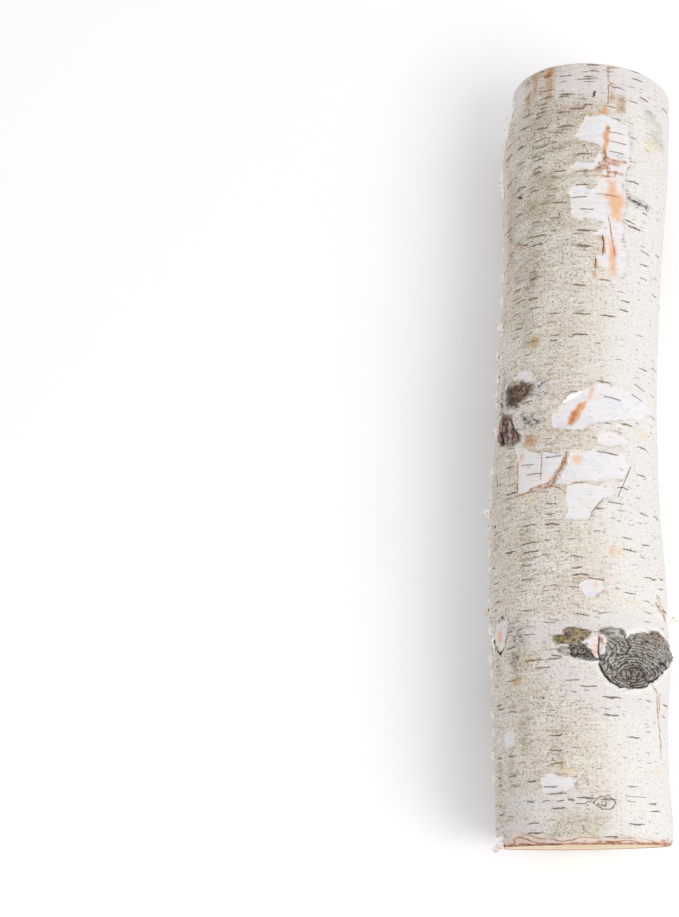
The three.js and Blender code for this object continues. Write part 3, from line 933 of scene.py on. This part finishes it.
cutPlace = addNode(tree, "Math", {
    0: centred, 1: fine["lineFray"], 2: place.outputs["Y"]}, operation="MULTIPLY_ADD")

# Masks read straight from one value: the value, where the mask starts and is full, and its least.
readings = dict(
    ringLine=(ringSine, -0.25, -0.85, 0.0), ringTop=(ringSine, 0.1, 0.9, 0.0),
    knotCore=(ringAt, 7.5, 2.0, 0.0), knotOuter=(ringAt, 8.0, 16.0, 0.0), ringed=(ringAt, 19.0, 8.0, 0.3),
    peelEdgeFleckAndShade=(edgeLineSize, 0.4, 0.05, 0.0), foldLine=(foldSine, 0.72, 0.96, 0.0),
    cutEdge=(cutPlace, -204.6, -205.4, 0.0),
)
for name, (source, low, high, least) in readings.items():
    maskOf[name] = addNode(tree, "MapRange", {
        "Value": source, "From Min": low, "From Max": high, "To Min": least})

# Layers of colour from the bottom up: the colour, its strength, then the masks that multiply.
layers = [
    ("pinkGrey", 0.75, "hueMask"), ("greenGrey", 0.5, "hueOther"),
    ("warmGrey", 0.5, "cloudMask", "leftSide"), ("lightBand", 0.6, "bandMask"),
    ("warmGrey", 0.35, "bandDark", "leftSide"), ("cleanWhite", 0.85, "rightSide"),
    ("warmGrey", 0.5, "farSide", "cloudMask"), ("khaki", 0.4, "farLeft"),
    ("khaki", 0.35, "mottleMask", "leftSide"), ("olive", 0.4, "bandDark", "farLeft"),
    ("palePaper", 0.5, "pale"), ("pepper", 0.55, "dotMask", "leftSide"), ("pepper", 0.25, "dotMask"),
    ("dotBrown", 0.5, "dotMask", "mottleMask", "leftSide"), ("whiteFleck", 0.75, "dotDark", "leftSide"),
    ("whiteFleck", 0.3, "dotDark"), ("pepper", 0.25, "hairDark", "leftSide"),
    ("lightBand", 0.25, "hairMask"), ("pepper", 0.4, "grainMask", "leftSide"),
    ("whiteFleck", 0.5, "grainLight", "leftSide"), ("dotBrown", 0.42, "speck", "leftSide"),
    ("dotBrown", 0.45, "speck", "farLeft"), ("dotBrown", 0.2, "speck"),
    ("dotBrown", 0.42, "mote", "leftSide"), ("dotBrown", 0.35, "mote", "farLeft"),
    ("creamGrey", 0.35, "farLeft", "patchMask"), ("pinkGrey", 0.6, "farFlank"),
    ("palePaper", 0.6, "pale"), ("khaki", 0.3, "khaki"), ("olive", 0.5, "khaki", "mottleMask"),
    ("dotBrown", 0.5, "khaki", "dotMask"), ("ochre", 0.75, "ochre", "crumbMask"),
    ("ochre", 0.3, "ochre"), ("streakBrown", 0.7, "ochre", "crumbDeep", "smearMask"),
    ("buff", 0.85, "buff", "crumbMask"), ("rimCream", 0.6, "buff", "crumbHigh"),
    # Painted shadow: a tan band just outside each peel, beside its lifted lip.
    ("streakBrown", 0.5, "buff", "dotHigh"), ("scarTanAndPaintedShadow", 0.45, "peelShade", "foldOther", "middle"),
    # The cream along the peels' lifted lip is partly the paper's cream edge and partly a painted highlight.
    ("warmPaper", 0.6, "peelFrayed", "patchMask"), ("rimCream", 0.95, "peelRim", "foldMask", "middle"),
    ("cleanWhite", 0.5, "peelFrayed", "rightSide"), ("freshPaper", 0.96, "peel"),
    ("coolPaper", 0.6, "peel", "foldOther"), ("warmPaper", 0.8, "peel", "patchOther"),
    ("rosePale", 0.3, "peel", "hueMask", "foldMask"),
    ("rimCream", 0.5, "peel", "peelInner", "patchMask", "middle"),
    # The dark line at each peel's edge is partly brown flecks and partly a painted shadow line.
    ("lenticel", 0.65, "peelEdgeFleckAndShade", "crumbDeep", "middle"), ("pepper", 0.15, "peel", "hairDark"),
    ("pepper", 0.3, "peel", "dotHigh"), ("rosePale", 0.75, "rose"), ("rose", 0.8, "rose", "smearMask"),
    ("peach", 0.9, "roseDeep"), ("rustEdge", 0.6, "roseDeep", "hairMask"),
    ("rustEdge", 0.45, "roseDeep", "smearDeep"), ("peach", 0.8, "rust"), ("rustEdge", 0.85, "rustDeep"),
    ("rustCore", 0.85, "rustDeep", "smearMask"), ("rustDark", 0.7, "rustDeep", "dotHigh"),
    ("rosePale", 0.9, "torn"), ("rose", 0.4, "tornDeep", "foldMask"),
    ("foldRust", 0.9, "torn", "foldLine"), ("rustDark", 0.8, "torn", "foldLine", "crumbDeep"),
    ("foldRust", 0.7, "cutEdge"), ("rustDark", 0.7, "cutEdge", "crumbWide"), ("peach", 0.6, "rustLine"),
    ("rustCore", 0.65, "rustLine", "smearMask"), ("rustDark", 0.75, "rustLine", "crumbWide"),
    ("olive", 0.7, "blotch", "farLeft", "notPeel"), ("dotBrown", 0.35, "blotch", "leftSide", "notPeel"),
    ("lenticel", 0.85, "long", "notPeel"), ("lenticel", 0.5, "short", "notPeel"),
    ("dashBrown", 0.35, "short", "peel"), ("dashBrown", 0.85, "dashLine"), ("slate", 0.9, "slateLine"),
    ("scarTanAndPaintedShadow", 0.65, "scar"), ("crustBrown", 0.6, "scar", "smearMask"),
    ("crustBrown", 0.85, "scarDeep"), ("grimeBlack", 0.9, "scarDeep", "crumbWide"),
    ("scarTanAndPaintedShadow", 0.35, "scarDeep", "ringTop"), ("grimeBlack", 0.8, "scarDeep", "ringLine"),
    ("crustLight", 0.6, "scar", "crumbHigh"), ("crustDark", 0.8, "scar", "crumbDeep"),
    ("redPale", 0.75, "redBark"), ("redBrown", 0.9, "redBark", "smearMask"),
    ("grimeBlack", 0.9, "redBark", "crumbDeep"), ("crustDark", 0.35, "redBark", "smearDeep"),
    ("rosePale", 0.5, "redBark", "crumbHigh"), ("crustLight", 0.45, "grime"),
    ("grimeBlack", 0.9, "grime", "crumbDeep"), ("grimeBlack", 0.6, "grime", "dotMask"),
    ("whiteFleck", 0.75, "knotHalo", "notPeel"), ("crustDark", 0.6, "knotHalo", "crumbDeep", "dotMask"),
    ("crustGrey", 0.85, "lichen"), ("lichen", 0.7, "lichen", "smearMask"),
    ("crustDark", 0.9, "lichen", "crumbDeep"), ("crustLight", 0.8, "lichen", "crumbHigh"),
    # The knot crust's colour follows its relief: light grey on ring tops and lumps, partly weathered crust
    # and partly painted highlight; dark in grooves and hollows, partly dark crust and partly painted shade.
    ("crustGrey", 1.0, "knot"), ("crustBrown", 0.3, "knot", "patchMask"),
    ("crustLight", 0.9, "knot", "ringTop"), ("crustLight", 0.5, "knot", "knotOuter", "foldMask"),
    ("foldRust", 0.4, "knot", "knotOuter", "patchOther"),
    ("crustDark", 0.9, "knot", "ringLine", "ringed"), ("crustDark", 0.8, "knot", "crumbDeep"),
    ("crustLight", 0.9, "knot", "crumbHigh"), ("crustBrown", 0.4, "knot", "knotCore"),
    ("crustDark", 0.7, "knot", "knotCore", "crumbWide"), ("grimeBlack", 0.4, "knot", "dotHigh"),
    ("moss", 0.9, "moss"), ("mossLight", 0.9, "moss", "crumbMask"),
    ("redPale", 0.4, "moss", "patchMask"), ("crustDark", 0.85, "moss", "crumbDeep"),
    ("crustDark", 0.7, "moss", "mossEdge", "crumbWide"), ("crack", 0.9, "darkLine"),
]
colour = paint["creamGrey"]
for name, strength, *masks in layers:
    factor = strength
    for mask in masks:
        factor = addNode(tree, "Math", {0: factor, 1: maskOf[mask]}, operation="MULTIPLY")
    colour = addNode(tree, "Mix", {"Factor": factor, "A": colour, "B": paint[name]}, data_type="RGBA")

# Fine relief in mm, added up: what the mesh is too coarse to hold.
fineRelief = [
    (0.40, "dots", "notPeel"), (0.08, "dots"), (0.06, "grain"), (0.22, "band", "notPeel"),
    (0.06, "hair"), (1.0, "folds", "peel"), (0.14, "long", "notPeel"), (0.07, "short", "notPeel"),
    (0.18, "mottle", "farLeft"), (-0.35, "darkLine"), (-0.2, "rustLine"), (-0.2, "slateLine"),
    (2.0, "crumb", "knot"), (-0.7, "ringLine", "knot"), (2.2, "crumb", "redBark"),
    (1.8, "crumb", "scar"), (0.9, "crumb", "grime"), (1.3, "crumb", "moss"), (1.4, "crumb", "lichen"),
    (0.12, "speck", "notPeel"), (-0.22, "peel"), (0.12, "peelFrayed", "patchMask"), (-0.25, "torn"),
    (0.35, "foldLine", "torn"), (0.25, "ochre", "crumbMask"),
]
height = 0.0
for amount, name, *masks in fineRelief:
    source = grainOf.get(name) or maskOf[name]
    for mask in masks:
        source = addNode(tree, "Math", {0: source, 1: maskOf[mask]}, operation="MULTIPLY")
    height = addNode(tree, "Math", {0: source, 1: amount, 2: height}, operation="MULTIPLY_ADD")
bump = addNode(tree, "Bump", {"Strength": 1.0, "Distance": mm, "Height": height})
duller = addNode(tree, "MapRange", {"Value": maskOf["peel"], "To Min": 0.86, "To Max": 0.66})
shader = addNode(tree, "BsdfPrincipled", {
    "Base Color": colour, "Roughness": duller, "Normal": bump, "IOR": 1.45, "Specular IOR Level": 0.35})
addNode(tree, "OutputMaterial", {"Surface": shader})
bark.data.materials.append(barkMaterial)

# Curled paper bark: thin, satin and cream-white, with patches of peach and rust, grey where dusty.
loose = dict(paper="F4F0E8", peach="E8CBA8", rust="A9703F", dust="8C8070")
paint = {name: colourOf(code) for name, code in loose.items()}
curlMaterial, tree = newMaterial("torn birch paper bark, curled")
dirt = grainPatterns(tree, dict(
    peach=((4, 4, 4), 4, 0.5), rust=((2.2, 2.2, 2.2), 4, 0.5), dust=((1.6, 1.6, 1.6), 4, 0.5)))
colour = paint["paper"]
for name, low, high in (("peach", 0.58, 0.7), ("rust", 0.68, 0.74), ("dust", 0.62, 0.7)):
    mask = addNode(tree, "MapRange", {"Value": dirt[name], "From Min": low, "From Max": high})
    colour = addNode(tree, "Mix", {"Factor": mask, "A": colour, "B": paint[name]}, data_type="RGBA")
shader = addNode(tree, "BsdfPrincipled", {
    "Base Color": colour, "Roughness": 0.7, "IOR": 1.45, "Specular IOR Level": 0.35})
addNode(tree, "OutputMaterial", {"Surface": shader})
for strip in strips:
    strip.data.materials.append(curlMaterial)

# The cuts: cross-sawn birch gone dry, matt and cream, with faint year rings and saw marks, a
# reddish-brown ring of inner bark and the white paper round it.
cut = dict(
    sapwood="E9D9BC", heartwood="DCC39C", yearLine="C9A97E", innerBark="A9683F", innerLight="C98F63",
    paperRim="E9E4DA", sawMark="F3E7CF")
cutGrain = dict(
    years=17.0, yearWaver=1.5, innerFray=-1.2, innerMm=(2.5, 2.1), paperMm=(0.1, -0.1),
    sawShare=0.25, bump=0.6, bumpMm=0.3)
paint = {name: colourOf(code) for name, code in cut.items()}
woodMaterial, tree = newMaterial("birch end grain, cross-sawn and dry")
depth = addNode(tree, "Attribute", attribute_name="depth").outputs["Fac"]
share = addNode(tree, "Attribute", attribute_name="share").outputs["Fac"]
noiseOf = grainPatterns(tree, dict(
    pore=((0.7, 0.7, 0.7), 3, 0.6), saw=((1.6, 60, 30), 3, 0.6), barkGrain=((2.4, 2.4, 2.4), 4, 0.65),
    waver=((9, 9, 9), 3, 0.5)))
yearPlace = addNode(tree, "Math", {0: share, 1: cutGrain["years"]}, operation="MULTIPLY")
yearBent = addNode(tree, "Math", {
    0: noiseOf["waver"], 1: cutGrain["yearWaver"], 2: yearPlace}, operation="MULTIPLY_ADD")
yearPhase = addNode(tree, "Math", {0: yearBent}, operation="FRACT")
innerDepth = addNode(tree, "Math", {
    0: noiseOf["barkGrain"], 1: cutGrain["innerFray"], 2: depth}, operation="MULTIPLY_ADD")
innerMask = addNode(tree, "MapRange", {
    "Value": innerDepth, "From Min": cutGrain["innerMm"][0], "From Max": cutGrain["innerMm"][1]})
# Each layer of colour: the value it reads, where its mask starts and is full, and its strength.
cutLayers = [
    ("heartwood", share, 0.6, 0.1, 1.0), ("yearLine", yearPhase, 0.55, 0.98, 0.5),
    ("sawMark", noiseOf["saw"], 0.5, 0.75, 0.55), ("yearLine", noiseOf["pore"], 0.58, 0.75, 0.4),
    ("innerBark", innerMask, 0.0, 1.0, 1.0), ("innerLight", noiseOf["barkGrain"], 0.5, 0.62, innerMask),
    ("paperRim", innerDepth, *cutGrain["paperMm"], 1.0)]
colour = paint["sapwood"]
for name, source, low, high, strength in cutLayers:
    mask = addNode(tree, "MapRange", {
        "Value": source, "From Min": low, "From Max": high, "To Max": strength})
    colour = addNode(tree, "Mix", {"Factor": mask, "A": colour, "B": paint[name]}, data_type="RGBA")
sawHeight = addNode(tree, "Math", {
    0: noiseOf["saw"], 1: cutGrain["sawShare"], 2: noiseOf["pore"]}, operation="MULTIPLY_ADD")
bump = addNode(tree, "Bump", {
    "Strength": cutGrain["bump"], "Distance": cutGrain["bumpMm"] * mm, "Height": sawHeight})
shader = addNode(tree, "BsdfPrincipled", {
    "Base Color": colour, "Roughness": 0.8, "Normal": bump, "IOR": 1.5, "Specular IOR Level": 0.35})
addNode(tree, "OutputMaterial", {"Surface": shader})
for end in (nearEnd, farEnd):
    end.data.materials.clear()
    end.data.materials.append(woodMaterial)


print("sizes")
